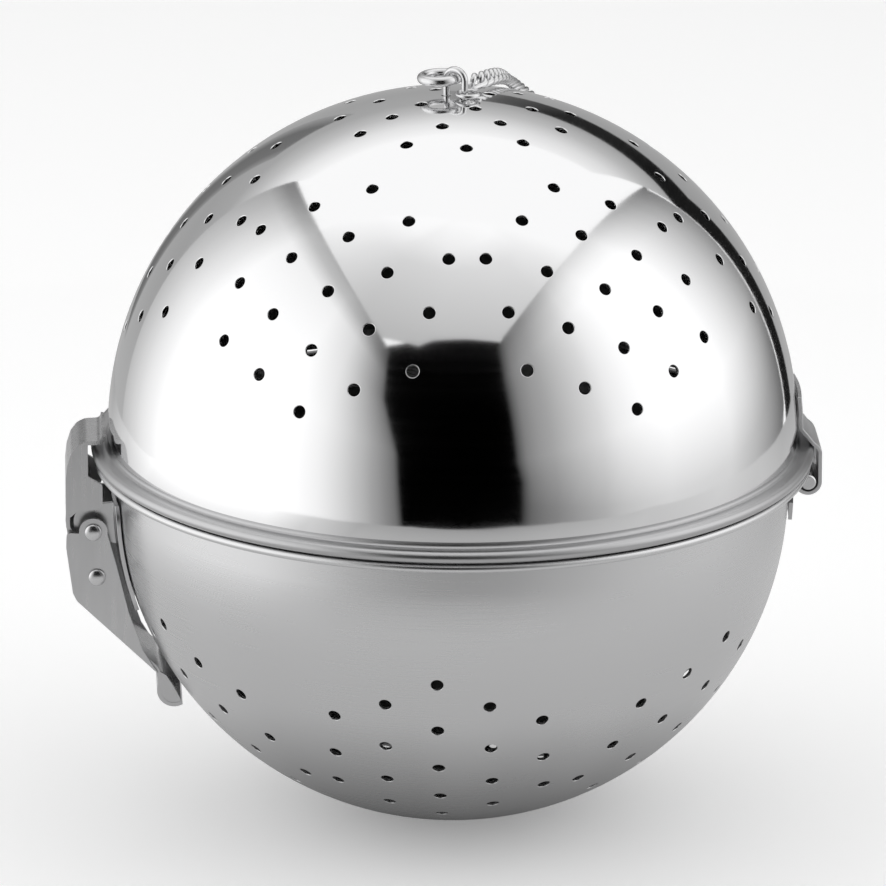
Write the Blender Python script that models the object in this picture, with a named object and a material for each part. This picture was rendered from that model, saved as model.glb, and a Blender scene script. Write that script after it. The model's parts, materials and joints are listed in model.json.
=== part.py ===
"""Perforated ball infuser: two half balls of steel sheet, hinged, closed by a toggle latch, on a chain.

Metres, +Z up. The origin is the centre of the foot under the bowl. The hinge is at +X, the latch at -X.
"""

import math

import bmesh
import bpy
from mathutils import Matrix, Vector

MM = 0.001

# Shells
LID_R = 70.0 * MM
BOWL_R = 68.3 * MM
SHELL_T = 0.8 * MM
FOOT_R = 10.0 * MM
LID_RISE = 4.3 * MM  # the lid's sphere centre stands this far above the rim plane
BOWL_DROP = 7.6 * MM  # the bowl's sphere centre hangs this far below the rim plane
RIM_GAP = 0.15 * MM  # each half stops this far from the rim plane
SEGMENTS = 40
RINGS = 10

# Rolled beads round the two rims
LID_BEAD_R = 1.2 * MM
LID_BEAD_AT = 72.2 * MM
BOWL_BEAD_R = 0.85 * MM
BOWL_BEAD_AT = 72.0 * MM

# Strainer holes: six hexagons of nineteen holes, and rings of 4, 8 and 12 about the pole
HOLE_R = 1.25 * MM
HOLE_SIDES = 6
GROUPS = 6
LID_GROUP_TILT = math.radians(51.1)
BOWL_GROUP_TILT = math.radians(52.5)
LID_PITCH = math.radians(10.1)
BOWL_PITCH = math.radians(10.2)
LID_GROUP_TURN = math.radians(30.0)
BOWL_GROUP_TURN = math.radians(-5.4)
POLE_RINGS = ((4, 6.5, 27.0), (8, 12.8, 32.4), (12, 19.4, 2.5))  # count, tilt, turn in degrees
EYE_HOLE_R = 1.05 * MM
DRILL_LENGTH = 8 * MM

# Sheet fittings
SHEET = 0.8 * MM
GAP = 0.3 * MM

# Hinge
HINGE_X = 71.9 * MM
HINGE_DROP = 5.1 * MM
HINGE_HALF = 8.0 * MM
HINGE_PIN_R = 1.6 * MM
KNUCKLE_R = 2.4 * MM  # to the middle of the rolled sheet
KNUCKLE_HALF = 2.6 * MM  # half the length of the bowl's knuckle
LEAF_FACE_X = 74.3 * MM
PIN_OVERHANG = 0.6 * MM  # the pin stands this far out of each end of the hinge

# Latch
LEVER_PIN = (-73.1 * MM, -14.2 * MM)  # X, and height from the rim plane
HOOK_PIN = (-72.4 * MM, -23.8 * MM)
RIVET_R = 1.2 * MM
RIVET_HEAD_R = 1.75 * MM
RIVET_HEAD_T = 0.6 * MM
LEVER_HALF = 9.0 * MM
HOOK_HALF = 7.8 * MM
HOOK_FACE_X = -78.2 * MM
EAR_Y = 6.2 * MM
BASE_HALF_TURN = math.radians(9.2)
BASE_TOP = math.radians(-0.6)  # how far the plate reaches up and down from the bowl's centre
BASE_BOTTOM = math.radians(-19.6)
BASE_ROWS = 4
BASE_COLUMNS = 6
EAR_R = 4.0 * MM
CROWN_R = 2.9 * MM
TAB_R = 3.1 * MM

# Eye, ring and chain
EYE_WIRE_R = 0.7 * MM
EYE_HALF = 2.2 * MM
EYE_HEIGHT = 5.6 * MM
EYE_TURN = math.radians(-36.9)
RING_WIRE_R = 1.0 * MM
RING_R = 3.7 * MM
RING_HEIGHT = 3.6 * MM
RING_DIP = math.radians(3.0)
CHAIN_D = 3.7 * MM
LINK_RING_R = 2.2 * MM
LINK_WIRE_R = 0.45 * MM
HOOK_WIRE_R = 0.6 * MM
HOOK_BEND_R = 2.8 * MM

# The chain's route over the lid: (tilt from the pole, turn from +X towards +Y) in degrees. It leaves the eye on a
# curve, runs back over the top and sways a little on its way down the far side.
CHAIN_ROUTE = ((3.4, 42), (7.5, 50), (11.5, 56), (15.5, 60), (19.5, 63), (23.5, 65), (27.5, 66), (31.5, 66),
               (35.5, 65), (39.5, 63), (43.5, 61), (47.5, 59), (51.5, 58), (55.5, 57), (59.5, 58), (63.5, 60),
               (67.5, 62), (71.5, 65))

FOOT_DEPTH = math.sqrt(BOWL_R**2 - FOOT_R**2)
RIM_Z = BOWL_DROP + FOOT_DEPTH
LID_CENTRE = Vector((0, 0, RIM_Z + LID_RISE))
BOWL_CENTRE = Vector((0, 0, RIM_Z - BOWL_DROP))
POLE_Z = LID_CENTRE.z + LID_R


def clear_scene():
    for thing in list(bpy.data.objects):
        bpy.data.objects.remove(thing)


def metal(name, colour, roughness):
    material = bpy.data.materials.new(name)
    material.use_nodes = True
    shader = material.node_tree.nodes["Principled BSDF"]
    shader.inputs["Base Color"].default_value = (*colour, 1)
    shader.inputs["Roughness"].default_value = roughness
    shader.inputs["Metallic"].default_value = 1.0
    return material


def empty(name, place, parent=None):
    holder = bpy.data.objects.new(name, None)
    bpy.context.collection.objects.link(holder)
    holder.location = place if parent is None else place - parent.matrix_world.translation
    holder.parent = parent
    bpy.context.view_layer.update()
    return holder


def add_mesh(name, bm, material=None, parent=None, smooth=0.0):
    """An object from a bmesh in world coordinates, with its origin on its parent's."""
    bmesh.ops.recalc_face_normals(bm, faces=bm.faces)
    if parent is not None:
        bmesh.ops.translate(bm, verts=bm.verts, vec=-parent.matrix_world.translation)
    mesh = bpy.data.meshes.new(name)
    bm.to_mesh(mesh)
    bm.free()
    if smooth:
        mesh.shade_smooth()
        mesh.set_sharp_from_angle(angle=math.radians(smooth))
    thing = bpy.data.objects.new(name, mesh)
    bpy.context.collection.objects.link(thing)
    thing.parent = parent
    if material:
        mesh.materials.append(material)
    return thing


def helper(thing):
    """Marks a cutter, or a piece that is joined into another."""
    thing.hide_render = True
    thing.display_type = "WIRE"
    return thing


def combine(thing, other, operation):
    modifier = thing.modifiers.new(other.name, "BOOLEAN")
    modifier.operation = operation
    modifier.solver = "EXACT"
    modifier.object = helper(other)


def arc(centre, radius, start, stop, count):
    """Points on a circle in the XZ plane, angles in degrees from +X towards +Z."""
    angles = [math.radians(start + (stop - start) * i / count) for i in range(count + 1)]
    return [(centre[0] + radius * math.cos(a), centre[1] + radius * math.sin(a)) for a in angles]


def from_rim(points):
    """Points given in millimetres from the rim plane, as metres."""
    return [(x * MM, RIM_Z + z * MM) for x, z in points]


def at_rim(point):
    return (point[0], RIM_Z + point[1])


def prism(outline, low, high):
    """A closed solid: an outline in the XZ plane, from Y = low to Y = high."""
    bm = bmesh.new()
    near = [bm.verts.new((x, low, z)) for x, z in outline]
    far = [bm.verts.new((x, high, z)) for x, z in outline]
    bm.faces.new(near)
    bm.faces.new(list(reversed(far)))
    for i in range(len(outline)):
        j = (i + 1) % len(outline)
        bm.faces.new((near[i], far[i], far[j], near[j]))
    return bm


def strip(path, low, high, thickness=SHEET):
    """Bent sheet: the path of its middle in the XZ plane, thickened and spread from Y = low to Y = high."""
    points = [Vector(p) for p in path]
    left, right = [], []
    for i, point in enumerate(points):
        before = (point - points[i - 1]).normalized() if i else None
        after = (points[i + 1] - point).normalized() if i + 1 < len(points) else None
        first = before or after
        second = after or before
        mean = (first + second).normalized()
        reach = thickness / 2 / max(0.5, mean.dot(first))
        side = Vector((-mean.y, mean.x)) * reach
        left.append(point + side)
        right.append(point - side)
    bm = bmesh.new()
    rows = []
    for a, b in zip(left, right):
        rows.append([bm.verts.new((x, y, z)) for (x, z), y in ((a, low), (a, high), (b, high), (b, low))])
    bm.faces.new(rows[0])
    bm.faces.new(list(reversed(rows[-1])))
    for one, two in zip(rows, rows[1:]):
        for k in range(4):
            n = (k + 1) % 4
            bm.faces.new((one[k], two[k], two[n], one[n]))
    return bm


def lathe(profile, segments):
    """A closed solid of revolution about Z. Its profile of (radius, height) starts and ends on the axis."""
    bm = bmesh.new()
    rows = []
    for radius, height in profile:
        if radius < 1e-7:
            rows.append([bm.verts.new((0, 0, height))])
            continue
        turns = [2 * math.pi * (i + 0.5) / segments for i in range(segments)]
        rows.append([bm.verts.new((radius * math.cos(t), radius * math.sin(t), height)) for t in turns])
    for one, two in zip(rows, rows[1:]):
        for i in range(segments):
            j = (i + 1) % segments
            corners = [one[i % len(one)], two[i % len(two)], two[j % len(two)], one[j % len(one)]]
            bm.faces.new(list(dict.fromkeys(corners)))
    return bm


def wire(name, points, radius, material, parent, sides=2):
    """A round wire along points, as a curve with filled ends."""
    curve = bpy.data.curves.new(name, "CURVE")
    curve.dimensions = "3D"
    curve.bevel_depth = radius
    curve.bevel_resolution = sides
    curve.use_fill_caps = True
    spline = curve.splines.new("POLY")
    spline.points.add(len(points) - 1)
    origin = parent.matrix_world.translation if parent else Vector()
    for slot, point in zip(spline.points, points):
        slot.co = (*(Vector(point) - origin), 1)
    curve.materials.append(material)
    thing = bpy.data.objects.new(name, curve)
    bpy.context.collection.objects.link(thing)
    thing.parent = parent
    return thing


def on_sphere(tilt, turn, side):
    """A unit vector tilted from the pole (side +1 up, -1 down) and turned from the front, -Y, towards +X."""
    flat = math.sin(tilt)
    return Vector((flat * math.sin(turn), -flat * math.cos(turn), side * math.cos(tilt)))


def strainer_directions(side, group_tilt, group_turn, pitch):
    """Directions of one half's holes: hexagons with a corner to the pole, and rings about the pole."""
    out = []
    for group in range(GROUPS):
        turn = group_turn + group * 2 * math.pi / GROUPS
        centre = on_sphere(group_tilt, turn, side)
        outward = on_sphere(group_tilt + math.pi / 2, turn, side)
        across = outward.cross(centre)
        for row in range(-2, 3):
            count = 5 - abs(row)
            for k in range(count):
                u = row * math.sqrt(3) / 2
                v = k - (count - 1) / 2
                step = (across * u + outward * v) * pitch
                reach = step.length
                aim = centre if reach < 1e-9 else centre * math.cos(reach) + step / reach * math.sin(reach)
                out.append(aim.normalized())
    for count, tilt, turn in POLE_RINGS:
        for k in range(count):
            out.append(on_sphere(math.radians(tilt), math.radians(turn) + k * 2 * math.pi / count, side))
    return out


def drills(name, centre, radius, directions, parent):
    """One cutter with a small prism through the shell for each hole."""
    corner_r = HOLE_R * math.sqrt(2 * math.pi / (HOLE_SIDES * math.sin(2 * math.pi / HOLE_SIDES)))
    bm = bmesh.new()
    for aim in directions:
        turn = aim.to_track_quat("Z", "Y").to_matrix().to_4x4()
        place = Matrix.Translation(centre + aim * radius) @ turn
        bmesh.ops.create_cone(bm, cap_ends=True, segments=HOLE_SIDES, radius1=corner_r, radius2=corner_r,
                              depth=DRILL_LENGTH, matrix=place)
    return add_mesh(name, bm, parent=parent)


def quarter(radius, centre_z, side, last):
    """Points down one side of a shell, from the pole to a tilt of last degrees."""
    tilts = [math.radians(last * i / RINGS) for i in range(RINGS + 1)]
    return [(radius * math.sin(t), centre_z + side * radius * math.cos(t)) for t in tilts]


def make_lid(material, parent):
    outer = quarter(LID_R, LID_CENTRE.z, 1, 90)
    inner = quarter(LID_R - SHELL_T, LID_CENTRE.z, 1, 90)
    bottom = RIM_Z + RIM_GAP
    bead = arc((LID_BEAD_AT, bottom + LID_BEAD_R), LID_BEAD_R, 125, -90, 5)
    neck = [(LID_R + 0.15 * MM, RIM_Z + 3.4 * MM), (LID_R + 0.75 * MM, RIM_Z + 2.6 * MM)]
    profile = outer + neck + bead + [(LID_R - SHELL_T, bottom)] + inner[::-1]
    lid = add_mesh("lid", lathe(profile, SEGMENTS), material, parent, smooth=40)
    aims = strainer_directions(1, LID_GROUP_TILT, LID_GROUP_TURN, LID_PITCH)
    combine(lid, drills("lid_drills", LID_CENTRE, LID_R, aims, parent), "DIFFERENCE")
    bm = bmesh.new()
    for side in (-1, 1):
        foot = eye_axis() * EYE_HALF * side
        place = Matrix.Translation((foot.x, foot.y, POLE_Z))
        bmesh.ops.create_cone(bm, cap_ends=True, segments=8, radius1=EYE_HOLE_R, radius2=EYE_HOLE_R,
                              depth=DRILL_LENGTH, matrix=place)
    combine(lid, add_mesh("eye_drills", bm, parent=parent), "DIFFERENCE")
    return lid


def make_bowl(material):
    foot_tilt = math.asin(FOOT_R / BOWL_R)
    inner_r = BOWL_R - SHELL_T
    inner_foot = math.asin((FOOT_R - 0.2 * MM) / inner_r)
    tilts = [foot_tilt + (math.pi / 2 - foot_tilt) * i / RINGS for i in range(RINGS + 1)]
    outer = [(BOWL_R * math.sin(t), BOWL_CENTRE.z - BOWL_R * math.cos(t)) for t in tilts]
    tilts = [inner_foot + (math.pi / 2 - inner_foot) * i / RINGS for i in range(RINGS + 1)]
    inner = [(inner_r * math.sin(t), BOWL_CENTRE.z - inner_r * math.cos(t)) for t in tilts]
    top = RIM_Z - RIM_GAP
    bead = arc((BOWL_BEAD_AT, top - BOWL_BEAD_R), BOWL_BEAD_R, -120, 90, 5)
    neck = [(BOWL_R + 0.1 * MM, RIM_Z - 3.6 * MM), (BOWL_R + 0.9 * MM, RIM_Z - 2.1 * MM)]
    floor_z = inner[0][1]
    profile = [(0, 0)] + outer + neck + bead + [(inner_r, top)] + inner[::-1] + [(0, floor_z)]
    bowl = add_mesh("bowl", lathe(profile, SEGMENTS), material, smooth=40)
    aims = strainer_directions(-1, BOWL_GROUP_TILT, BOWL_GROUP_TURN, BOWL_PITCH)
    combine(bowl, drills("bowl_drills", BOWL_CENTRE, BOWL_R, aims, None), "DIFFERENCE")
    return bowl


def knuckle_path(start, stop, count=12):
    return arc(at_rim((HINGE_X, -HINGE_DROP)), KNUCKLE_R, start, stop, count)


def make_hinge(material, pin_material, lid_pivot):
    seat = LID_R + GAP + SHEET / 2
    lies = arc((0, LID_CENTRE.z), seat, 7.0, 0.6, 3)
    path = lies + [(LEAF_FACE_X - 0.2 * MM, RIM_Z + 2.3 * MM), (LEAF_FACE_X, RIM_Z + 1.5 * MM)]
    path += knuckle_path(0, -255)
    leaf = add_mesh("hinge_leaf_lid", strip(path, -HINGE_HALF, HINGE_HALF), material, lid_pivot, smooth=30)
    room = KNUCKLE_HALF + GAP
    top = RIM_Z - 1.0 * MM
    notch = [(HINGE_X - 5 * MM, top - 9 * MM), (HINGE_X + 5 * MM, top - 9 * MM),
             (HINGE_X + 5 * MM, top), (HINGE_X - 5 * MM, top)]
    combine(leaf, add_mesh("leaf_notch", prism(notch, -room, room), parent=lid_pivot), "DIFFERENCE")

    seat = BOWL_R + GAP + SHEET / 2
    wall = arc((0, BOWL_CENTRE.z), seat, -4.6, -1.6, 2)
    plate = add_mesh("hinge_leaf_bowl", strip(wall, -HINGE_HALF, HINGE_HALF), material, smooth=30)
    arm = [wall[1], wall[2], (BOWL_R + 1.5 * MM, RIM_Z - 8.1 * MM)] + knuckle_path(-100, 195)
    rolled = add_mesh("leaf_knuckle", strip(arm, -KNUCKLE_HALF, KNUCKLE_HALF))
    combine(plate, rolled, "UNION")

    bm = bmesh.new()
    place = Matrix.Translation((HINGE_X, 0, RIM_Z - HINGE_DROP)) @ Matrix.Rotation(math.pi / 2, 4, "X")
    bmesh.ops.create_cone(bm, cap_ends=True, segments=16, radius1=HINGE_PIN_R, radius2=HINGE_PIN_R,
                          depth=2 * (HINGE_HALF + PIN_OVERHANG), matrix=place)
    add_mesh("hinge_pin", bm, pin_material, smooth=30)


def rivet(name, centre, half, material, parent):
    """A riveted pin along Y with a low domed head outside each cheek."""
    head = half + GAP
    profile = [(0, -head - RIVET_HEAD_T), (RIVET_HEAD_R * 0.6, -head - RIVET_HEAD_T * 0.8),
               (RIVET_HEAD_R, -head), (RIVET_R, -head)]
    profile += [(r, -z) for r, z in reversed(profile)]
    bm = lathe(profile, 12)
    place = Matrix.Translation((centre[0], 0, RIM_Z + centre[1])) @ Matrix.Rotation(math.pi / 2, 4, "X")
    bm.transform(place)
    return add_mesh(name, bm, material, parent, smooth=35)


def pin_hole(name, centre, parent):
    bm = bmesh.new()
    place = Matrix.Translation((centre[0], 0, RIM_Z + centre[1])) @ Matrix.Rotation(math.pi / 2, 4, "X")
    bmesh.ops.create_cone(bm, cap_ends=True, segments=12, radius1=RIVET_R + GAP, radius2=RIVET_R + GAP,
                          depth=4 * LEVER_HALF, matrix=place)
    return add_mesh(name, bm, parent=parent)


def make_latch_base(material):
    """A plate that hugs the bowl, with two ears that carry the lever's rivet."""
    bm = bmesh.new()
    rows = []
    heights = [BASE_TOP + (BASE_BOTTOM - BASE_TOP) * i / BASE_ROWS for i in range(BASE_ROWS + 1)]
    turns = [math.pi + BASE_HALF_TURN * (2 * k / BASE_COLUMNS - 1) for k in range(BASE_COLUMNS + 1)]
    for radius in (BOWL_R + GAP, BOWL_R + GAP + SHEET):
        skin = []
        for b in heights:
            flat = radius * math.cos(b)
            rise = BOWL_CENTRE.z + radius * math.sin(b)
            skin.append([bm.verts.new((flat * math.cos(a), flat * math.sin(a), rise)) for a in turns])
        rows.append(skin)
    inner, outer = rows
    for i in range(BASE_ROWS):
        for k in range(BASE_COLUMNS):
            for skin in rows:
                bm.faces.new((skin[i][k], skin[i + 1][k], skin[i + 1][k + 1], skin[i][k + 1]))
        for k in (0, BASE_COLUMNS):
            bm.faces.new((inner[i][k], outer[i][k], outer[i + 1][k], inner[i + 1][k]))
    for k in range(BASE_COLUMNS):
        for i in (0, BASE_ROWS):
            bm.faces.new((inner[i][k], inner[i][k + 1], outer[i][k + 1], outer[i][k]))
    base = add_mesh("latch_base", bm, material, smooth=30)

    seat = BOWL_R + GAP + 0.6 * SHEET
    pivot = at_rim(LEVER_PIN)
    back = []
    for drop in (17.5, 14.5, 11.5, 8.6):
        z = RIM_Z - drop * MM
        back.append((-math.sqrt(seat**2 - (EAR_Y + SHEET)**2 - (z - BOWL_CENTRE.z) ** 2), z))
    outline = back + arc((pivot[0], pivot[1] + 1.6 * MM), EAR_R, 70, 200, 6)
    outline += [(pivot[0] - 2.4 * MM, pivot[1] - 2.2 * MM)]
    for side in (-1, 1):
        low = side * EAR_Y - SHEET / 2
        ear = add_mesh(f"ear_{side}", prism(outline, low, low + SHEET))
        combine(base, ear, "UNION")
    combine(base, pin_hole("ear_hole", LEVER_PIN, None), "DIFFERENCE")


def make_lever(material, pivot):
    """A channel of bent sheet: two cheeks, a web along their lower edge, and a rolled finger tab."""
    top = at_rim(LEVER_PIN)
    crown = arc(top, CROWN_R, -10, 185, 7)
    lower = from_rim([(-78.5, -14.3), (-78.6, -17.5), (-77.3, -27.2), (-76.5, -28.9), (-59.8, -45.0)])
    upper = from_rim([(-60.9, -43.4), (-63.2, -39.6), (-66.0, -31.6), (-68.4, -21.5)])
    outline = crown + lower + upper
    low = LEVER_HALF - SHEET
    lever = add_mesh("latch_lever", prism(outline, low, LEVER_HALF), material, pivot, smooth=30)
    combine(lever, add_mesh("cheek", prism(outline, -LEVER_HALF, -low), parent=pivot), "UNION")
    tab = from_rim([(-76.3, -28.4), (-60.3, -43.8)])
    tab += arc(at_rim((-56.8 * MM, -48.6 * MM)), TAB_R, 150, 300, 6)
    web = add_mesh("web", strip(tab, -LEVER_HALF + 0.4 * SHEET, LEVER_HALF - 0.4 * SHEET), parent=pivot)
    combine(lever, web, "UNION")
    combine(lever, pin_hole("lever_hole", LEVER_PIN, pivot), "DIFFERENCE")
    combine(lever, pin_hole("hook_hole", HOOK_PIN, pivot), "DIFFERENCE")


def hook_path():
    """The middle of the hook's sheet, from its curl about the rivet to the lip that bears on the lid."""
    curl = arc(at_rim(HOOK_PIN), RIVET_R + GAP + SHEET / 2, 60, -180, 10)
    rise = from_rim([(-74.6, -20.5), (-75.3, -17.9)])
    face = [(HOOK_FACE_X, RIM_Z - 13.6 * MM), (HOOK_FACE_X, RIM_Z - 3.4 * MM)]
    bend = from_rim([(-77.8, -0.6), (-77.0, 2.0), (-75.9, 3.6), (-74.4, 4.3)])
    lip = from_rim([(-72.0, 4.4), (-71.2, 4.8), (-70.85, 5.9)])
    return curl + rise + face + bend + lip


def make_hook(material, pivot):
    hook = add_mesh("latch_hook", strip(hook_path(), -HOOK_HALF, HOOK_HALF), material, pivot, smooth=30)
    rib = from_rim([(-78.25, -12.0), (-76.6, -10.4), (-72.6, -9.8), (-71.2, -8.8), (-71.2, -4.6),
                    (-74.1, -2.9), (-74.1, 4.3), (-75.9, 3.65), (-77.0, 2.05), (-77.85, -0.55),
                    (-78.25, -3.4)])
    for side in (-1, 1):
        edge = side * (HOOK_HALF - 0.05 * MM)
        other = edge - side * SHEET
        piece = add_mesh(f"rib_{side}", prism(rib, min(edge, other), max(edge, other)), parent=pivot)
        combine(hook, piece, "UNION")


def eye_axis():
    return Vector((math.cos(EYE_TURN), math.sin(EYE_TURN), 0))


def make_eye(material, parent):
    """A wire staple through two holes at the lid's pole, clinched inside."""
    u = eye_axis()
    inside = POLE_Z - SHELL_T - EYE_WIRE_R - GAP
    legs = POLE_Z + EYE_HEIGHT - EYE_HALF
    points = []
    for reach, rise in ((6.2, -0.5), (3.4, -0.25), (2.5, 0.1), (2.2, 0.8)):
        points.append(u * reach * MM + Vector((0, 0, inside + rise * MM)))
    crown = [math.radians(180 * i / 8) for i in range(9)]
    over = [u * EYE_HALF * math.cos(a) + Vector((0, 0, legs + EYE_HALF * math.sin(a))) for a in crown]
    back = [Vector((-p.x, -p.y, p.z)) for p in reversed(points)]
    wire("lid_eye", points + over + back, EYE_WIRE_R, material, parent, sides=1)


def torus(centre, first, second, radius, wire_r, turns, sides):
    """A closed ring of round wire in the plane of two unit vectors."""
    normal = first.cross(second)
    bm = bmesh.new()
    rows = []
    for i in range(turns):
        a = 2 * math.pi * i / turns
        spoke = first * math.cos(a) + second * math.sin(a)
        row = []
        for k in range(sides):
            b = 2 * math.pi * k / sides
            reach = radius + wire_r * math.cos(b)
            row.append(bm.verts.new(centre + spoke * reach + normal * wire_r * math.sin(b)))
        rows.append(row)
    for i in range(turns):
        for k in range(sides):
            j, n = (i + 1) % turns, (k + 1) % sides
            bm.faces.new((rows[i][k], rows[j][k], rows[j][n], rows[i][n]))
    return bm


def make_ring(material, parent):
    """A round ring threaded through the eye, standing out nearly level over the lid."""
    thread = Vector((0, 0, POLE_Z + RING_HEIGHT))
    away = -eye_axis()
    down = away * math.cos(RING_DIP) - Vector((0, 0, math.sin(RING_DIP)))
    along = Vector((-away.y, away.x, 0))
    ring = torus(thread + down * RING_R, down, along, RING_R, RING_WIRE_R, 20, 8)
    add_mesh("eye_ring", ring, material, parent, smooth=60)


def make_chain_ring(material, parent):
    """The small ring that ties the chain to the eye's near leg."""
    u = eye_axis()
    through = Vector((-u.y, u.x, 0))
    centre = u * 2.65 * MM + through * 0.5 * MM + Vector((0, 0, POLE_Z + 0.9 * MM))
    ring = torus(centre, u, through, LINK_RING_R, LINK_WIRE_R, 16, 6)
    add_mesh("chain_ring", ring, material, parent, smooth=60)


def chain_points():
    """The chain's middle, laid over the lid."""
    lift = LID_R + CHAIN_D / 2 + GAP
    points = []
    for tilt, turn in CHAIN_ROUTE:
        t, a = math.radians(tilt), math.radians(turn)
        flat = math.sin(t)
        spoke = Vector((flat * math.cos(a), flat * math.sin(a), math.cos(t)))
        points.append(LID_CENTRE + spoke * lift)
    return points


def make_chain(material, parent):
    """The chain as one round solid, and the S-shaped hook on its end."""
    points = chain_points()
    wire("chain", points, CHAIN_D / 2, material, parent)
    end = points[-1]
    out = (end - LID_CENTRE).normalized()
    side = (end - points[-2]).cross(out).normalized()
    down = out.cross(side)
    start = end + down * (HOOK_WIRE_R + GAP) - out * 0.4 * MM
    upper = [(a, HOOK_BEND_R) for a in range(110, -136, -35)]
    lower = [(a, HOOK_BEND_R * 3.4) for a in range(45, 256, 35)]
    bends = []
    for degrees, middle in upper + lower:
        a = math.radians(degrees)
        bends.append(start + side * HOOK_BEND_R * math.sin(a) + down * (middle - HOOK_BEND_R * math.cos(a)))
    wire("chain_hook", bends, HOOK_WIRE_R, material, parent, sides=1)


def build():
    clear_scene()
    polished = metal("polished_steel", (0.86, 0.86, 0.87), 0.08)
    satin = metal("satin_steel", (0.74, 0.74, 0.75), 0.28)
    stamped = metal("stamped_steel", (0.72, 0.72, 0.73), 0.22)
    plated = metal("plated_wire", (0.78, 0.78, 0.79), 0.16)

    lid_pivot = empty("lid_pivot", Vector((HINGE_X, 0, RIM_Z - HINGE_DROP)))
    lever_pivot = empty("lever_pivot", Vector((LEVER_PIN[0], 0, RIM_Z + LEVER_PIN[1])))
    hook_pivot = empty("hook_pivot", Vector((HOOK_PIN[0], 0, RIM_Z + HOOK_PIN[1])), lever_pivot)
    ring_pivot = empty("ring_pivot", Vector((0, 0, POLE_Z + RING_HEIGHT)), lid_pivot)

    make_bowl(satin)
    make_lid(polished, lid_pivot)
    make_hinge(stamped, plated, lid_pivot)
    make_latch_base(stamped)
    make_lever(stamped, lever_pivot)
    make_hook(stamped, hook_pivot)
    rivet("lever_rivet", LEVER_PIN, LEVER_HALF, plated, None)
    rivet("hook_rivet", HOOK_PIN, LEVER_HALF, plated, lever_pivot)
    make_eye(plated, lid_pivot)
    make_ring(plated, ring_pivot)
    make_chain_ring(plated, lid_pivot)
    make_chain(plated, lid_pivot)


build()
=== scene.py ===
"""The look of a perforated ball infuser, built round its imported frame.

Metres, +Z up, hinge at +X, latch at -X.
"""
import json
import math

import bmesh
import bpy
from mathutils import Matrix, Vector
from mathutils.geometry import delaunay_2d_cdt


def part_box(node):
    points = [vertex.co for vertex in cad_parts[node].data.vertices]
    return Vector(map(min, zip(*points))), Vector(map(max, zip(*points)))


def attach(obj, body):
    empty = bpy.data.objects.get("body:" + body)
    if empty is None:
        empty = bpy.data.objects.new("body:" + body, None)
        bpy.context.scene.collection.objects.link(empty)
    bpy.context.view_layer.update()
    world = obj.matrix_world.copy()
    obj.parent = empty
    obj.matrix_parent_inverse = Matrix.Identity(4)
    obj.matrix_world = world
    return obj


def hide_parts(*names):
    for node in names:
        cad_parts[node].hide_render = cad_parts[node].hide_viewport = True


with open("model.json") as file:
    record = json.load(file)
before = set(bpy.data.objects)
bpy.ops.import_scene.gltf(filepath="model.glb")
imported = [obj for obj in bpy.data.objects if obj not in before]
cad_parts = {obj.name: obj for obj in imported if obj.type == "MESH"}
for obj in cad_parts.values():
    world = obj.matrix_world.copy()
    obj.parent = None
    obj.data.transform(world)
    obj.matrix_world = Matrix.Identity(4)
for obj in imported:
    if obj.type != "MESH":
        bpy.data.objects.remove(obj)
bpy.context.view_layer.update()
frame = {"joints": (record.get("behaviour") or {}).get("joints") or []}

MM = 0.001
RIM_Z = (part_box("lid")[0].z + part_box("bowl")[1].z) / 2
JOINT = {joint["name"]: Vector(joint["pos_m"]) for joint in frame["joints"]}

# Shells, as in the frame
LID_R = 70.0 * MM
BOWL_R = 68.3 * MM
SHELL_T = 0.8 * MM
LID_CENTRE = Vector((0, 0, RIM_Z + 4.3 * MM))
BOWL_CENTRE = Vector((0, 0, RIM_Z - 7.6 * MM))
POLE_Z = LID_CENTRE.z + LID_R
HOLE_R = 1.25 * MM
HOLE_LIP = 0.16 * MM  # rounding of a hole's edge
HOLE_SIDES = 20
GROUPS = 6
LID_GROUPS = (51.1, 30.0, 10.1)  # tilt, turn and pitch in degrees
BOWL_GROUPS = (52.5, -5.4, 10.2)
POLE_RINGS = ((4, 6.5, 27.0), (8, 12.8, 32.4), (12, 19.4, 2.5))  # count, tilt and turn in degrees
RIM_SIDES = 240
SKIN_STEP = math.radians(2.0)

# Fittings, as in the frame
SHEET = 0.8 * MM
HALF_SHEET = SHEET / 2
GAP = 0.3 * MM
HINGE_HALF = 8.0 * MM
HINGE_PIN_R = 1.6 * MM
KNUCKLE_R = 2.4 * MM
KNUCKLE_HALF = 2.6 * MM
RIVET_R = 1.2 * MM
RIVET_HEAD_R = 1.75 * MM
RIVET_HEAD_T = 0.6 * MM
LEVER_HALF = 9.0 * MM
HOOK_HALF = 7.8 * MM
HOOK_FACE_X = -78.2 * MM
EAR_Y = 6.2 * MM
BASE_HALF_TURN = math.radians(9.2)
EYE_WIRE_R = 0.7 * MM
EYE_HALF = 2.2 * MM
EYE_HEIGHT = 5.6 * MM
EYE_TURN = math.radians(-36.9)
RING_WIRE_R = 1.0 * MM
RING_R = 3.7 * MM
RING_DIP = math.radians(3.0)
LINK_RING_R = 2.2 * MM
LINK_WIRE_R = 0.45 * MM
HOOK_WIRE_R = 0.6 * MM
HOOK_BEND_R = 2.8 * MM

# Chain
CHAIN_D = 3.7 * MM
# Its route over the lid, as in the frame's source: (tilt from the pole, turn from +X towards +Y) in degrees.
# It leaves the eye on a curve, runs back over the top and sways a little on its way down the far side.
CHAIN_ROUTE = ((3.4, 42), (7.5, 50), (11.5, 56), (15.5, 60), (19.5, 63), (23.5, 65), (27.5, 66), (31.5, 66),
               (35.5, 65), (39.5, 63), (43.5, 61), (47.5, 59), (51.5, 58), (55.5, 57), (59.5, 58), (63.5, 60),
               (67.5, 62), (71.5, 65))


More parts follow.
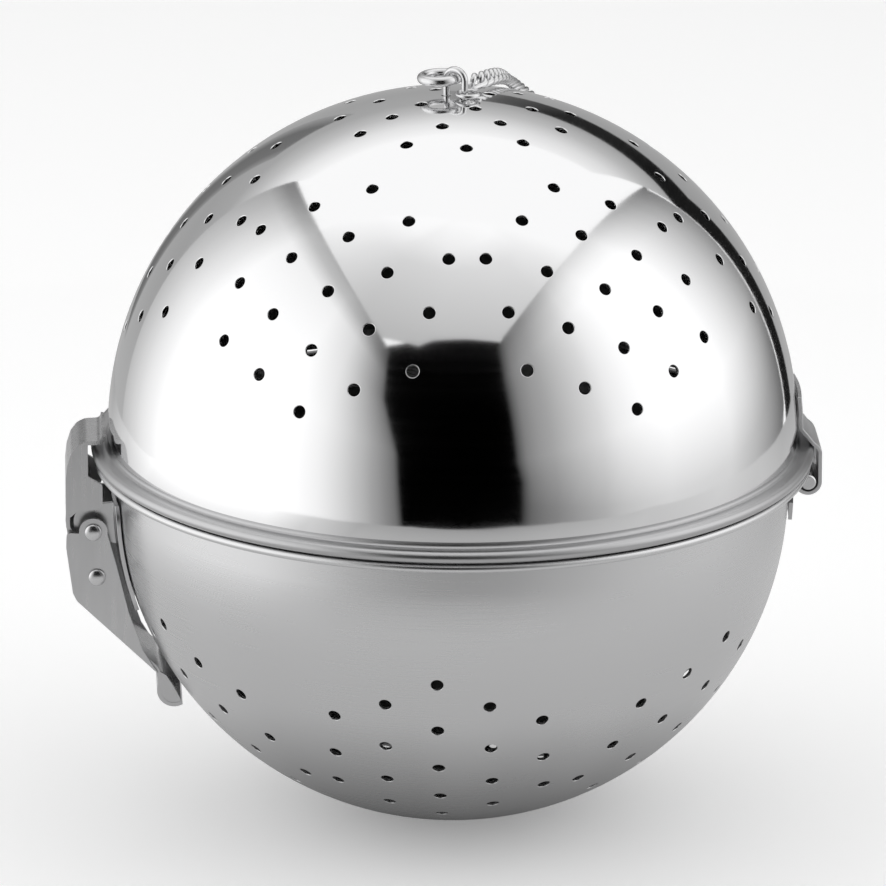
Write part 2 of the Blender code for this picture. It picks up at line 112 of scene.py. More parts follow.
# ---------------------------------------------------------------- camera, floor and light

def make_camera():
    """A long lens a little above the ball, turned slightly towards the latch."""
    turn, rise, roll = math.radians(-3.0), math.radians(18.15), math.radians(0.46)
    distance = 1.746
    back = Vector((math.sin(turn) * math.cos(rise), -math.cos(turn) * math.cos(rise), math.sin(rise)))
    level = Vector((0, 0, 1)).cross(back).normalized()
    right = Matrix.Rotation(roll, 3, back) @ level
    up = back.cross(right)
    lens = bpy.data.cameras.new("camera")
    lens.sensor_width = 36.0
    lens.lens = 349.2
    lens.clip_start = 0.05
    camera = bpy.data.objects.new("camera", lens)
    bpy.context.collection.objects.link(camera)
    place = Vector((0, 0, RIM_Z)) + back * distance - right * 1.94 * MM + up * 1.17 * MM
    turned = Matrix((right, up, back)).transposed().to_4x4()
    camera.matrix_world = Matrix.Translation(place) @ turned
    bpy.context.scene.camera = camera


def glow(name):
    """A panel's own light, read from the brightness stored at its corners."""
    material = bpy.data.materials.new(name)
    material.use_nodes = True
    nodes, links = material.node_tree.nodes, material.node_tree.links
    nodes.clear()
    stored = nodes.new("ShaderNodeAttribute")
    stored.attribute_name = "glow"
    light = nodes.new("ShaderNodeEmission")
    links.new(stored.outputs["Fac"], light.inputs["Strength"])
    out = nodes.new("ShaderNodeOutputMaterial")
    links.new(light.outputs["Emission"], out.inputs["Surface"])
    return material


def panel(name, rows, glows):
    """A panel seen in reflections but not by the camera: rows of points, and the glow at each of them."""
    across = len(rows[0])
    faces = []
    for r in range(len(rows) - 1):
        for c in range(across - 1):
            i = r * across + c
            faces.append((i, i + 1, i + across + 1, i + across))
    mesh = bpy.data.meshes.new(name)
    mesh.from_pydata([point for row in rows for point in row], [], faces)
    stored = mesh.attributes.new("glow", "FLOAT", "POINT")
    for i, strength in enumerate(strength for row in glows for strength in row):
        stored.data[i].value = strength
    mesh.materials.append(glow(name))
    thing = bpy.data.objects.new(name, mesh)
    bpy.context.collection.objects.link(thing)
    thing.visible_camera = False
    thing.visible_shadow = False
    return thing


def aimed(turn, reach, height):
    """A point in the direction turn, in degrees from the front (0) towards the hinge (90)."""
    return Vector((reach * math.sin(math.radians(turn)), -reach * math.cos(math.radians(turn)), height))


def wall(name, facing, distance, rows, columns):
    """An upright cloth whose nearest point lies in the direction facing.

    Its rows are (height, share of the glow, lean of its first edge in degrees).
    Its columns are (turn, glow).
    """
    points, glows = [], []
    for height, share, lean in rows:
        angles = [turn + lean * max(0.0, 1 - k / 6) for k, (turn, strength) in enumerate(columns)]
        points.append([aimed(a, distance / math.cos(math.radians(a - facing)), height) for a in angles])
        glows.append([strength * share for turn, strength in columns])
    return panel(name, points, glows)


def make_roof():
    """A pale roof over the front, dimmest where it meets the gap."""
    rows = [(44, 0.55), (52, 0.62), (62, 0.70), (71, 0.78), (80, 1.00), (89, 1.12)]
    columns = [(-110, 0.40), (-90, 0.22), (-70, 0.08), (-50, -0.02), (-10, 0.0), (20, 0.03), (45, 0.08),
               (65, 0.20), (85, 0.40)]
    reach = 2.9
    points = [[aimed(turn, reach * math.cos(math.radians(rise)), reach * math.sin(math.radians(rise)))
               for turn, extra in columns] for rise, strength in rows]
    panel("front_roof", points,
          [[min(1.12, strength + extra) for turn, extra in columns] for rise, strength in rows])


def make_painted_reflection_table():
    """A painted reflection of the table, seen only by the steel: painted shadow under the ball, grey round it
    and painted light from the sides.
    """
    # Glow by reach from the ball: the dark glow next to it is painted shadow.
    rows = [(0.012, 0.03), (0.040, 0.24), (0.075, 0.54), (0.16, 0.62)]
    edge = [(-180, 0.40), (-150, 0.42), (-130, 0.76), (-110, 1.25), (-60, 1.25), (-45, 0.75), (-30, 0.43),
            (-15, 0.36), (15, 0.36), (30, 0.43), (60, 0.62), (90, 0.75), (110, 0.62), (130, 0.45),
            (150, 0.40), (180, 0.40)]
    points = [[aimed(turn, reach, 0.2 * MM) for turn, strength in edge]
              for reach in [r for r, g in rows] + [0.38]]
    painted_reflection_table = panel("painted_reflection_table", points,
                  [[strength] * len(edge) for reach, strength in rows] + [[g for turn, g in edge]])
    painted_reflection_table.visible_diffuse = False


def make_floor():
    mesh = bpy.data.meshes.new("floor")
    mesh.from_pydata([(-6, -6, 0), (6, -6, 0), (6, 6, 0), (-6, 6, 0)], [], [(0, 1, 2, 3)])
    ground = bpy.data.objects.new("floor", mesh)
    bpy.context.collection.objects.link(ground)
    pale = bpy.data.materials.new("floor")
    pale.use_nodes = True
    shader = pale.node_tree.nodes["Principled BSDF"]
    shader.inputs["Base Color"].default_value = (0.9, 0.9, 0.9, 1)
    shader.inputs["Roughness"].default_value = 0.6
    shader.inputs["Emission Color"].default_value = (1, 1, 1, 1)
    shader.inputs["Emission Strength"].default_value = 0.24
    mesh.materials.append(pale)
    # The steel sees the painted reflection of the table instead of this floor.
    ground.visible_glossy = False


def make_studio():
    """A light tent: two cloth walls, a pale roof, a dark gap in front and a dark frame behind."""
    scene = bpy.context.scene
    scene.view_settings.view_transform = "Standard"
    world = bpy.data.worlds.new("studio")
    scene.world = world
    world.use_nodes = True
    world.node_tree.nodes["Background"].inputs["Color"].default_value = (1, 1, 1, 1)
    world.node_tree.nodes["Background"].inputs["Strength"].default_value = 1.1
    make_floor()

    left = [(-18.5, 0.0), (-20.5, 0.18), (-24, 0.29), (-28, 0.41), (-34, 0.62), (-40, 0.84), (-46, 1.03),
            (-52, 1.15), (-60, 1.30), (-108, 1.30), (-118, 1.06), (-124, 0.94), (-130, 0.80), (-136, 0.68),
            (-142, 0.58), (-148, 0.51), (-154, 0.38), (-161, 0.24)]
    right = [(18.5, 0.0), (20, 0.13), (22, 0.25), (26, 0.35), (30, 0.42), (34, 0.52), (40, 0.66), (46, 0.79),
             (52, 0.97), (60, 1.12), (70, 1.25), (98, 1.25), (106, 1.08), (112, 0.96), (118, 0.82),
             (124, 0.68), (130, 0.54), (136, 0.40), (141, 0.28)]
    wall("left_wall", -85, 0.75, [(-0.4, 1.0, 0), (0.35, 1.0, -2), (0.55, 0.92, -5), (0.75, 0.85, -9),
                                  (0.95, 0.78, -10), (1.10, 0.46, -11), (1.2, 0.38, -11)], left)
    wall("right_wall", 70, 0.75, [(-0.4, 0.45, 0), (-0.07, 0.62, 0), (0.08, 0.83, 0), (0.22, 1.0, -1.5),
                                  (0.9, 1.0, -3), (1.1, 0.84, -3), (1.3, 0.62, -3)], right)
    wall("left_seam", -85, 0.76, [(1.17, 1.0, 0), (1.24, 1.0, 0)], [(-31, 0.38), (-90, 0.50), (-164, 0.30)])
    wall("right_seam", 70, 0.76, [(1.27, 1.0, 0), (1.33, 1.0, 0)],
         [(19, 0.30), (40, 0.42), (80, 0.75), (142, 0.1)])
    wall("front_gap", 0, 1.90, [(-1.0, 1.0, 0), (2.12, 1.0, 0)], [(-34, 0.0), (30, 0.0)])
    wall("back_post", 150, 1.00, [(-0.4, 1.0, 0), (0.48, 1.0, 0)], [(140, 0.01), (149, 0.01)])
    wall("back_rail", 165, 1.00, [(0.29, 1.0, 0), (0.50, 1.0, 0)],
         [(140, 0.0), (165, 0.02), (172, 0.10), (178, 0.32)])
    wall("back_cloth", 180, 1.15, [(-0.4, 0.50, 0), (0.08, 0.40, 0), (0.30, 0.38, 0), (0.60, 0.42, 0),
                                   (0.82, 0.58, 0), (1.1, 0.88, 0), (1.4, 1.08, 0)],
         [(141, 0.9), (180, 1.0), (217, 1.0)])
    wall("back_left_post", -164, 1.00, [(-0.1, 1.0, 0), (0.45, 1.0, 0)],
         [(-158, 0.30), (-161, 0.18), (-167, 0.16), (-171, 0.33)])
    make_roof()
    # A painted reflection of the table, with painted shadow under the ball.
    make_painted_reflection_table()


# ---------------------------------------------------------------- mesh helpers

def add(name, mesh, material, body, nodes=(), others=()):
    """Puts a finished mesh in the scene as a piece that rides on a body and stands for CAD nodes."""
    thing = bpy.data.objects.new(name, mesh)
    bpy.context.collection.objects.link(thing)
    mesh.materials.append(material)
    for other in others:
        mesh.materials.append(other)
    if nodes:
        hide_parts(*nodes)
    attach(thing, body)
    return thing


def from_bmesh(name, bm, sharp=35.0):
    bmesh.ops.recalc_face_normals(bm, faces=bm.faces)
    mesh = bpy.data.meshes.new(name)
    bm.to_mesh(mesh)
    bm.free()
    mesh.shade_smooth()
    mesh.set_sharp_from_angle(angle=math.radians(sharp))
    return mesh


def finished(name, bm, cuts=(), joins=(), edge=0.14 * MM, sharp=35.0):
    """A mesh from one solid with others cut from it or joined to it, and its hard edges rounded."""
    base = bpy.data.objects.new(name, from_bmesh(name, bm, sharp))
    bpy.context.collection.objects.link(base)
    helpers = []
    for operation, solids in (("UNION", joins), ("DIFFERENCE", cuts)):
        for solid in solids:
            other = bpy.data.objects.new(name + "_tool", from_bmesh(name + "_tool", solid))
            bpy.context.collection.objects.link(other)
            modifier = base.modifiers.new(operation.lower(), "BOOLEAN")
            modifier.operation = operation
            modifier.solver = "EXACT"
            modifier.object = other
            helpers.append(other)
    if edge:
        bevel = base.modifiers.new("edges", "BEVEL")
        bevel.width = edge
        bevel.segments = 3
        bevel.limit_method = "ANGLE"
        bevel.angle_limit = math.radians(sharp)
        bevel.harden_normals = True
    bpy.context.view_layer.update()
    seen = base.evaluated_get(bpy.context.evaluated_depsgraph_get())
    mesh = bpy.data.meshes.new_from_object(seen)
    for thing in (base, *helpers):
        bpy.data.objects.remove(thing)
    return mesh


def arc(centre, radius, start, stop, count):
    """Points on a circle in the XZ plane, angles in degrees from +X towards +Z."""
    angles = [math.radians(start + (stop - start) * i / count) for i in range(count + 1)]
    return [(centre[0] + radius * math.cos(a), centre[1] + radius * math.sin(a)) for a in angles]


def from_rim(points):
    """Points given in millimetres from the rim plane, as metres."""
    return [(x * MM, RIM_Z + z * MM) for x, z in points]


def rounded(points, radius, steps=5, closed=True):
    """The outline with each corner turned into an arc of about this radius, or less between short sides."""
    corners = [Vector(p) for p in points]
    out = []
    count = len(corners)
    for i, corner in enumerate(corners):
        if not closed and i in (0, count - 1):
            out.append(corner)
            continue
        before, after = corners[i - 1] - corner, corners[(i + 1) % count] - corner
        bend = math.pi - before.angle(after)
        reach = min(radius * math.tan(bend / 2), before.length * 0.45, after.length * 0.45)
        if reach < 1e-6:
            out.append(corner)
            continue
        start, stop = corner + before.normalized() * reach, corner + after.normalized() * reach
        for k in range(steps + 1):
            t = k / steps
            out.append(start * (1 - t) ** 2 + corner * 2 * t * (1 - t) + stop * t * t)
    return [tuple(p) for p in out]


def prism(outline, low, high):
    """A closed solid: an outline in the XZ plane, from Y = low to Y = high."""
    bm = bmesh.new()
    near = [bm.verts.new((x, low, z)) for x, z in outline]
    far = [bm.verts.new((x, high, z)) for x, z in outline]
    bm.faces.new(near)
    bm.faces.new(list(reversed(far)))
    for i in range(len(outline)):
        j = (i + 1) % len(outline)
        bm.faces.new((near[i], far[i], far[j], near[j]))
    return bm


def offset_path(path, reach):
    """A path moved sideways by reach, to the left of its travel."""
    points = [Vector(p) for p in path]
    moved = []
    for i, point in enumerate(points):
        before = (point - points[i - 1]).normalized() if i else None
        after = (points[i + 1] - point).normalized() if i + 1 < len(points) else None
        first = before or after
        second = after or before
        mean = (first + second).normalized()
        moved.append(point + Vector((-mean.y, mean.x)) * (reach / max(0.5, mean.dot(first))))
    return moved


def strip(path, half, thickness=SHEET, across=6, hug=None):
    """Bent sheet: the path of its middle in the XZ plane, thickened and spread across Y.

    half is its half width, or one for each point of the path.
    hug moves each corner so that the sheet can wrap round the ball.
    """
    widths = half if isinstance(half, list) else [half] * len(path)
    left, right = offset_path(path, thickness / 2), offset_path(path, -thickness / 2)
    bm = bmesh.new()
    rows = []
    for a, b, width in zip(left, right, widths):
        steps = [width * (2 * k / across - 1) for k in range(across + 1)]
        corners = [Vector((a.x, y, a.y)) for y in steps] + [Vector((b.x, y, b.y)) for y in reversed(steps)]
        rows.append([bm.verts.new(hug(c) if hug else c) for c in corners])
    count = len(rows[0])
    for one, two in zip(rows, rows[1:]):
        for k in range(count):
            n = (k + 1) % count
            bm.faces.new((one[k], two[k], two[n], one[n]))
    for row in (rows[0], rows[-1]):
        for k in range(across):
            bm.faces.new((row[k], row[k + 1], row[count - 2 - k], row[count - 1 - k]))
    return bm


def turned(profile, sides, place=None):
    """A closed solid of revolution about Z. Its profile of (radius, height) starts and ends on the axis."""
    bm = bmesh.new()
    rows = []
    for radius, height in profile:
        count = 1 if radius < 1e-7 else sides
        turns = [2 * math.pi * i / sides for i in range(count)]
        rows.append([bm.verts.new((radius * math.cos(t), radius * math.sin(t), height)) for t in turns])
    for one, two in zip(rows, rows[1:]):
        for i in range(sides):
            j = (i + 1) % sides
            corners = [one[i % len(one)], two[i % len(two)], two[j % len(two)], one[j % len(one)]]
            bm.faces.new(list(dict.fromkeys(corners)))
    if place is not None:
        bm.transform(place)
    return bm


def along_y(x, z):
    """Stands a turned solid on its side, its axis along Y through (x, z)."""
    return Matrix.Translation((x, 0, z)) @ Matrix.Rotation(math.pi / 2, 4, "X")


def smooth_line(points, steps, closed=False):
    """A Catmull-Rom curve through 3D points."""
    count = len(points)
    spans = count if closed else count - 1
    out = []
    for i in range(spans):
        if closed:
            p0, p1, p2, p3 = (points[(i + k - 1) % count] for k in range(4))
        else:
            p0, p1, p2, p3 = (points[min(max(i + k - 1, 0), count - 1)] for k in range(4))
        for k in range(steps):
            t = k / steps
            out.append(0.5 * (2 * p1 + (p2 - p0) * t + (2 * p0 - 5 * p1 + 4 * p2 - p3) * t ** 2
                              + (3 * p1 - p0 - 3 * p2 + p3) * t ** 3))
    if not closed:
        out.append(points[-1].copy())
    return out


def tube(bm, points, radius, sides, closed=False):
    """Round wire along 3D points, with domed ends when it is open."""
    count = len(points)
    tangents = []
    for i in range(count):
        before = points[i - 1] if closed or i else points[i]
        after = points[(i + 1) % count] if closed or i + 1 < count else points[i]
        tangents.append((after - before).normalized())
    side = tangents[0].orthogonal().normalized()
    sides_at = []
    for tangent in tangents:
        side = (side - tangent * side.dot(tangent)).normalized()
        sides_at.append(side.copy())
    slip = 0.0
    if closed:
        end = (sides_at[-1] - tangents[0] * sides_at[-1].dot(tangents[0])).normalized()
        slip = math.atan2(end.cross(sides_at[0]).dot(tangents[0]), end.dot(sides_at[0]))
    rings = []

    def ring(centre, tangent, first, r, twist):
        second = tangent.cross(first)
        angles = [2 * math.pi * k / sides + twist for k in range(sides)]
        return [bm.verts.new(centre + (first * math.cos(a) + second * math.sin(a)) * r) for a in angles]

    for i in range(count):
        rings.append(ring(points[i], tangents[i], sides_at[i], radius, slip * i / count))
    if not closed:
        for end, sign in ((0, -1), (count - 1, 1)):
            dome = [ring(points[end] + tangents[end] * sign * radius * math.sin(a), tangents[end],
                         sides_at[end], radius * math.cos(a), slip * end / count)
                    for a in (math.radians(30), math.radians(60))]
            tip = bm.verts.new(points[end] + tangents[end] * sign * radius)
            rings = dome[::-1] + rings if sign < 0 else rings + dome
            last = dome[-1]
            for k in range(sides):
                bm.faces.new((last[k], last[(k + 1) % sides], tip))
    pairs = list(zip(rings, rings[1:]))
    if closed:
        pairs.append((rings[-1], rings[0]))
    for one, two in pairs:
        for k in range(sides):
            n = (k + 1) % sides
            bm.faces.new((one[k], one[n], two[n], two[k]))


# ---------------------------------------------------------------- materials

class Steel:
    """A steel finish: its colour, and how its roughness and its surface vary."""

    def __init__(self, name, colour, rough, shade=0.03):
        self.material = bpy.data.materials.new(name)
        self.material.use_nodes = True
        self.nodes = self.material.node_tree.nodes
        self.links = self.material.node_tree.links
        self.shader = self.nodes["Principled BSDF"]
        self.shader.inputs["Metallic"].default_value = 1.0
        self.place = self.nodes.new("ShaderNodeTexCoord").outputs["Object"]
        self.normal = None
        self.roughness = None
        low, high = rough
        smudge = self.noise(self.place, 38.0, 4.0)
        self.roughness = self.spread(smudge, low, high)
        tone = self.noise(self.place, 22.0, 3.0)
        ramp = self.nodes.new("ShaderNodeMix")
        ramp.data_type = "RGBA"
        ramp.inputs["A"].default_value = (*(c * (1 - shade) for c in colour), 1)
        ramp.inputs["B"].default_value = (*(min(1.0, c * (1 + shade)) for c in colour), 1)
        self.links.new(tone, ramp.inputs["Factor"])
        self.links.new(ramp.outputs["Result"], self.shader.inputs["Base Color"])

    def noise(self, where, scale, detail):
        node = self.nodes.new("ShaderNodeTexNoise")
        node.inputs["Scale"].default_value = scale
        node.inputs["Detail"].default_value = detail
        self.links.new(where, node.inputs["Vector"])
        return node.outputs["Fac"]

    def math(self, operation, one, two):
        node = self.nodes.new("ShaderNodeMath")
        node.operation = operation
        for socket, value in zip(node.inputs, (one, two)):
            if isinstance(value, float):
                socket.default_value = value
            else:
                self.links.new(value, socket)
        return node.outputs["Value"]

    def spread(self, value, low, high):
        node = self.nodes.new("ShaderNodeMapRange")
        node.inputs["From Min"].default_value = 0.3
        node.inputs["From Max"].default_value = 0.7
        node.inputs["To Min"].default_value = low
        node.inputs["To Max"].default_value = high
        self.links.new(value, node.inputs["Value"])
        return node.outputs["Result"]

    def stretched(self, x, y, z):
        """Object coordinates scaled differently along each axis."""
        node = self.nodes.new("ShaderNodeMapping")
        node.inputs["Scale"].default_value = (x, y, z)
        self.links.new(self.place, node.inputs["Vector"])
        return node.outputs["Vector"]

    def spun(self, fine, slow):
        """Coordinates for marks that run round the Z axis, as left by spinning or polishing on a lathe."""
        parts = self.nodes.new("ShaderNodeSeparateXYZ")
        self.links.new(self.place, parts.inputs["Vector"])
        x, y, z = parts.outputs
        radius = self.math("SQRT", self.math("ADD", self.math("MULTIPLY", x, x),
                                             self.math("MULTIPLY", y, y)), 0.0)
        join = self.nodes.new("ShaderNodeCombineXYZ")
        self.links.new(self.math("MULTIPLY", radius, fine), join.inputs["X"])
        self.links.new(self.math("MULTIPLY", z, fine), join.inputs["Y"])
        self.links.new(self.math("MULTIPLY", self.math("ADD", x, y), slow), join.inputs["Z"])
        return join.outputs["Vector"]

    def marks(self, where, scale, detail, depth, rough=0.0):
        """Fine marks that rock the surface by depth metres and add up to rough to its roughness."""
        grain = self.noise(where, scale, detail)
        bump = self.nodes.new("ShaderNodeBump")
        bump.inputs["Strength"].default_value = 1.0
        bump.inputs["Distance"].default_value = depth
        self.links.new(grain, bump.inputs["Height"])
        if self.normal is not None:
            self.links.new(self.normal, bump.inputs["Normal"])
        self.normal = bump.outputs["Normal"]
        if rough:
            extra = self.spread(grain, 0.0, rough)
            self.roughness = self.math("ADD", self.roughness, extra)
        return self

    def done(self):
        self.links.new(self.roughness, self.shader.inputs["Roughness"])
        if self.normal is not None:
            self.links.new(self.normal, self.shader.inputs["Normal"])
        return self.material


def polished_steel():
    steel = Steel("polished_steel", (0.86, 0.86, 0.865), (0.035, 0.075), shade=0.015)
    steel.marks(steel.spun(1.0, 0.02), 900.0, 2.0, 0.4e-6, rough=0.02)
    return steel.done()


def satin_steel():
    steel = Steel("satin_steel", (0.72, 0.72, 0.725), (0.22, 0.30), shade=0.03)
    steel.marks(steel.spun(1.0, 0.03), 1600.0, 3.0, 3.0e-6, rough=0.06)
    steel.marks(steel.place, 2600.0, 2.0, 1.0e-6)
    return steel.done()


def rolled_rim_painted_shade():
    """The lid's rolled edge, rougher as the rollers left it, with its colour darkened as painted shade."""
    steel = Steel("rolled_rim_painted_shade", (0.52, 0.52, 0.525), (0.26, 0.34), shade=0.05)
    steel.marks(steel.spun(1.0, 0.03), 1400.0, 3.0, 3.0e-6, rough=0.06)
    return steel.done()


def inner_steel_painted_shade():
    """The unpolished inside of the shells, its colour darkened as painted shade inside the holes."""
    steel = Steel("inner_steel_painted_shade", (0.30, 0.30, 0.30), (0.38, 0.48), shade=0.08)
    steel.marks(steel.spun(1.0, 0.03), 1200.0, 3.0, 4.0e-6, rough=0.06)
    return steel.done()


def stamped_steel():
    steel = Steel("stamped_steel", (0.66, 0.66, 0.665), (0.20, 0.32), shade=0.05)
    steel.marks(steel.stretched(1.0, 1.0, 0.06), 1400.0, 3.0, 3.0e-6, rough=0.06)
    steel.marks(steel.place, 500.0, 3.0, 4.0e-6)
    return steel.done()


def plated_wire():
    steel = Steel("plated_wire", (0.70, 0.70, 0.705), (0.12, 0.24), shade=0.06)
    steel.marks(steel.place, 900.0, 3.0, 5.0e-6, rough=0.05)
    return steel.done()


# ---------------------------------------------------------------- perforated shells

def on_sphere(tilt, turn, side):
    """A unit vector tilted from the pole (side +1 up, -1 down) and turned from the ball's front."""
    run = math.sin(tilt)
    return Vector((run * math.sin(turn), -run * math.cos(turn), side * math.cos(tilt)))


def strainer_directions(side, group_tilt, group_turn, pitch):
    """Directions of one half's holes: hexagonal groups with a corner to the pole, and the pole's rings."""
    out = []
    for group in range(GROUPS):
        turn = math.radians(group_turn + group * 360.0 / GROUPS)
        tilt = math.radians(group_tilt)
        centre = on_sphere(tilt, turn, side)
        outward = on_sphere(tilt + math.pi / 2, turn, side)
        across = outward.cross(centre)
        for row in range(-2, 3):
            count = 5 - abs(row)
            for k in range(count):
                step = across * (row * math.sqrt(3) / 2) + outward * (k - (count - 1) / 2)
                reach = step.length * math.radians(pitch)
                if reach < 1e-9:
                    out.append(centre.copy())
                else:
                    out.append(centre * math.cos(reach) + step.normalized() * math.sin(reach))
    for count, tilt, turn in POLE_RINGS:
        for k in range(count):
            out.append(on_sphere(math.radians(tilt), math.radians(turn + 360.0 * k / count), side))
    return out


def hole_ring(aim, reach):
    """Unit vectors on a small circle about a direction."""
    first = aim.orthogonal().normalized()
    second = aim.cross(first)
    angles = [2 * math.pi * k / HOLE_SIDES for k in range(HOLE_SIDES)]
    return [(aim * math.cos(reach) + (first * math.cos(a) + second * math.sin(a)) * math.sin(reach))
            for a in angles]


def laid_flat(aim, side):
    """Where a direction falls on a disc whose radius is the tilt from the pole."""
    run = math.hypot(aim.x, aim.y)
    tilt = math.atan2(run, side * aim.z)
    return Vector((aim.x, aim.y)) * (tilt / run if run > 1e-9 else 0.0)


def perforated_disc(side, radius, holes):
    """Directions and triangles that cover a half sphere but its holes, the edge's indices and each hole's."""
    aims = [on_sphere(math.pi / 2, 2 * math.pi * i / RIM_SIDES, side) for i in range(RIM_SIDES)]
    loops = [list(range(RIM_SIDES))]
    for aim, hole_r in holes:
        start = len(aims)
        aims += hole_ring(aim, (hole_r + HOLE_LIP) / radius)
        loops.append(list(range(start, len(aims))))
    rings = int(math.pi / 2 / SKIN_STEP)
    for ring in range(rings):
        tilt = ring * SKIN_STEP
        count = max(1, round(2 * math.pi * math.sin(tilt) / SKIN_STEP))
        for k in range(count):
            aim = on_sphere(tilt, 2 * math.pi * (k + 0.5 * (ring % 2)) / count, side)
            clear = all(aim.dot(hole) < math.cos((hole_r + 0.9 * MM) / radius) for hole, hole_r in holes)
            if clear:
                aims.append(aim)
    points = [laid_flat(aim, side) for aim in aims]
    edges = [(loop[i - 1], loop[i]) for loop in loops for i in range(len(loop))]
    faces = delaunay_2d_cdt(points, edges, [], 0, 1e-9)[2]
    owner = {index: n for n, loop in enumerate(loops) if n for index in loop}
    kept = []
    for a, b, c in faces:
        if a in owner and owner[a] == owner.get(b) == owner.get(c):
            continue
        facing = (points[b] - points[a]).cross(points[c] - points[a])
        kept.append((a, b, c) if facing * side > 0 else (a, c, b))
    return aims, kept, loops[0], loops[1:]


def rim_rows(path, thickness, side):
    """Rings of a rolled rim from its sheet's middle line: along the outside, round the end, back inside."""
    points = [Vector(p) for p in path]
    normals = []
    for i, point in enumerate(points):
        before = points[max(i - 1, 0)]
        after = points[min(i + 1, len(points) - 1)]
        travel = (after - before).normalized()
        normals.append(Vector((-travel.y, travel.x)) * side)
    outside = [(p + n * thickness / 2, n) for p, n in zip(points, normals)]
    inside = [(p - n * thickness / 2, -n) for p, n in zip(points, normals)]
    tip, n = points[-1], normals[-1]
    travel = Vector((n.y, -n.x)) * side
    end = []
    for degrees in (30, 60, 90, 120, 150):
        a = math.radians(degrees)
        way = n * math.cos(a) + travel * math.sin(a)
        end.append((tip + way * thickness / 2, way))
    return outside[1:] + end + inside[:0:-1]


def make_shell(name, side, centre, radius, holes, rim_path, skins, foot_z=None):
    """A perforated half ball of sheet with a rolled rim, shaded with the true surface's normals."""
    aims, faces, edge, rims = perforated_disc(side, radius, holes)

    def skin(aim, depth):
        point = centre + aim * (radius - depth)
        normal = aim.copy()
        if foot_z is not None:
            soft = 0.5 * MM
            low = foot_z + depth
            gap = point.z - low
            lift = math.sqrt(gap * gap + soft * soft)
            share = (1 + gap / lift) / 2
            point.z = low + (gap + lift) / 2
            normal = Vector((normal.x * share, normal.y * share, -1 + share * (1 + normal.z))).normalized()
        return point, normal

    points, normals = [], []
    for depth, facing in ((0.0, 1), (SHELL_T, -1)):
        for aim in aims:
            point, normal = skin(aim, depth)
            points.append(point)
            normals.append(normal * facing)
    count = len(aims)
    outer_faces = len(faces)
    faces = faces + [(c + count, b + count, a + count) for a, b, c in faces]
    for (aim, hole_r), rim in zip(holes, rims):
        rows = [rim]
        steps = [(a, 0) for a in (30, 60, 90)] + [(a, 1) for a in (90, 60, 30)]
        for degrees, inner in steps:
            bend = math.radians(degrees)
            inset = HOLE_LIP * (1 - math.cos(bend))
            depth = SHELL_T - inset if inner else inset
            ring = hole_ring(aim, (hole_r + HOLE_LIP * (1 - math.sin(bend))) / radius)
            rows.append(list(range(len(points), len(points) + HOLE_SIDES)))
            for way in ring:
                point, normal = skin(way, depth)
                inward = (aim - way).normalized()
                points.append(point)
                normals.append(normal * math.cos(bend) * (-1 if inner else 1) + inward * math.sin(bend))
        rows.append([i + count for i in rim])
        for one, two in zip(rows, rows[1:]):
            faces += [(one[k - 1], one[k], two[k], two[k - 1]) for k in range(HOLE_SIDES)]
    rim_start = len(faces)
    rows = [edge]
    for (r, z), normal in rim_rows(rim_path, SHELL_T, side):
        rows.append(list(range(len(points), len(points) + RIM_SIDES)))
        for i in range(RIM_SIDES):
            turn = 2 * math.pi * i / RIM_SIDES
            way = Vector((math.sin(turn), -math.cos(turn), 0))
            points.append(way * r + Vector((0, 0, z)))
            normals.append(way * normal.x + Vector((0, 0, normal.y)))
    rows.append([i + count for i in edge])
    for one, two in zip(rows, rows[1:]):
        faces += [(one[k - 1], one[k], two[k], two[k - 1]) for k in range(RIM_SIDES)]
    bm = bmesh.new()
    verts = [bm.verts.new(p) for p in points]
    for face in faces:
        bm.faces.new([verts[i] for i in face])
    bmesh.ops.recalc_face_normals(bm, faces=bm.faces)
    mesh = bpy.data.meshes.new(name)
    bm.to_mesh(mesh)
    bm.free()
    mesh.shade_smooth()
    mesh.normals_split_custom_set_from_vertices([n.normalized() for n in normals])
    add(name + "_shell", mesh, skins[0], name, (name,), skins[1:])
    # The inner skin takes the second finish, darkened as painted shade.
    for polygon in mesh.polygons[outer_faces:2 * outer_faces]:
        polygon.material_index = 1
    # The rolled rim takes the third finish; on the lid its darker colour is painted shade.
    for polygon in mesh.polygons[rim_start + RIM_SIDES:]:
        polygon.material_index = 2


def make_lid(skins):
    holes = [(aim, HOLE_R) for aim in strainer_directions(1, *LID_GROUPS)]
    u = eye_axis()
    holes += [((u * EYE_HALF * way + Vector((0, 0, LID_R))).normalized(), 0.95 * MM) for way in (-1, 1)]
    wall_r = LID_R - SHELL_T / 2
    path = [(wall_r, LID_CENTRE.z), (wall_r, RIM_Z + 3.7 * MM)]
    path += arc((wall_r + 1.2 * MM, RIM_Z + 3.35 * MM), 1.2 * MM, 180, 270, 8)
    path += arc((72.2 * MM, RIM_Z + 1.35 * MM), 0.8 * MM, 90, -165, 20)
    make_shell("lid", 1, LID_CENTRE, LID_R, holes, path, skins)


def make_bowl(skins):
    holes = [(aim, HOLE_R) for aim in strainer_directions(-1, *BOWL_GROUPS)]
    wall_r = BOWL_R - SHELL_T / 2
    path = [(wall_r, BOWL_CENTRE.z), (wall_r, RIM_Z - 5.0 * MM), (wall_r, RIM_Z - 3.0 * MM)]
    path += arc((wall_r + 2.0 * MM, RIM_Z - 2.55 * MM), 2.0 * MM, 180, 90, 8)
    path += arc((72.0 * MM, RIM_Z - 1.0 * MM), 0.45 * MM, 90, -150, 14)
    make_shell("bowl", -1, BOWL_CENTRE, BOWL_R, holes, path, skins, foot_z=0.0)


# ---------------------------------------------------------------- hinge

